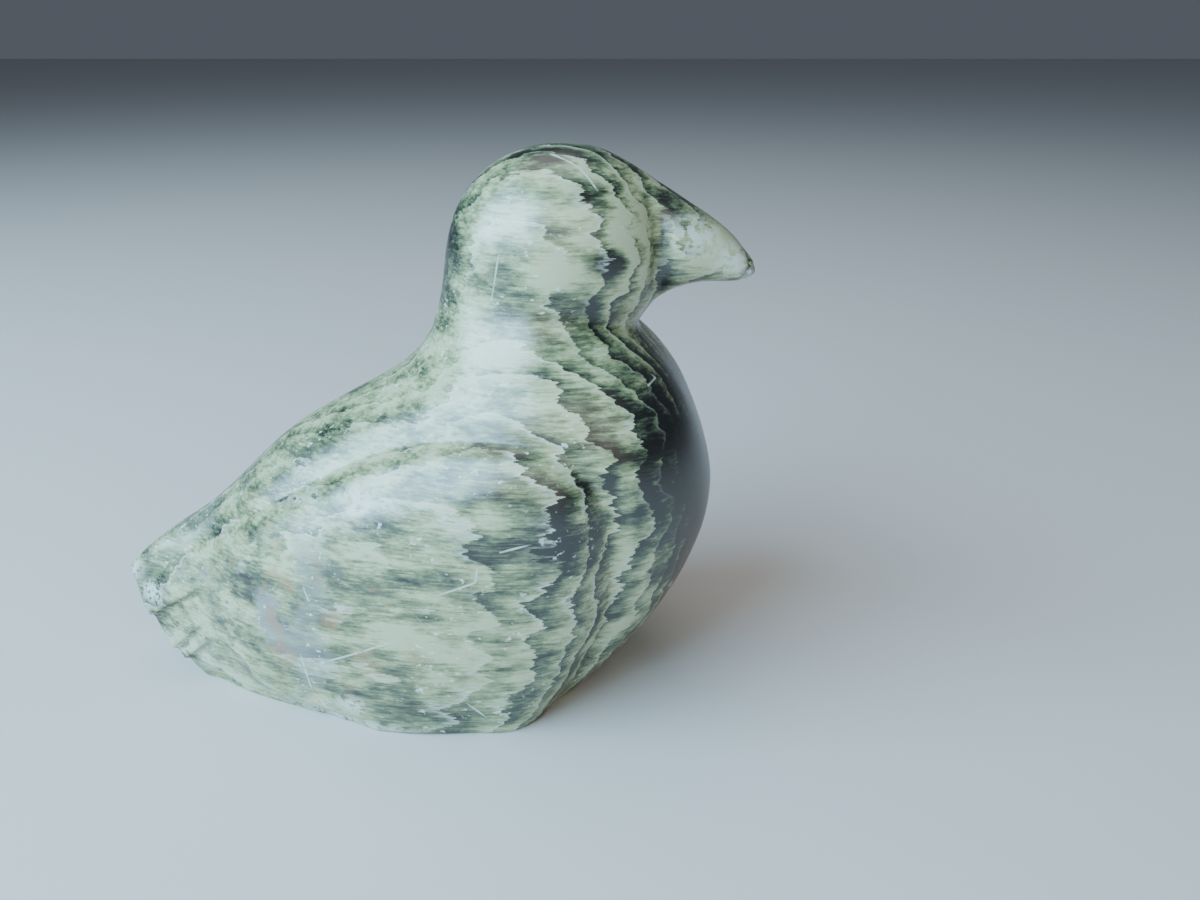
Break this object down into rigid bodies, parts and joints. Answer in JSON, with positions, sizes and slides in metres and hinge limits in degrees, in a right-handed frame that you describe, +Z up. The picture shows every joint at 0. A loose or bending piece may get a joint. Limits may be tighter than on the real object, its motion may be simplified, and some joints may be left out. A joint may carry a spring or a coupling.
{
  "type": "soapstone bird carving",
  "caption": "Small polished stone carving of a sitting bird with a blunt beak, folded wings and a fanned tail, flat underneath.",
  "frame": {"origin": "middle of the overall box, on the flat underside", "axes": "+X from tail to beak, +Y to the bird's left, +Z up"},
  "size_m": [0.1338, 0.0734, 0.1121],
  "materials": {
    "soapstone": "polished, mottled green with pale and dark bands"
  },
  "bodies": {
    "root": {"bird": "soapstone"}
  },
  "joints": []
}
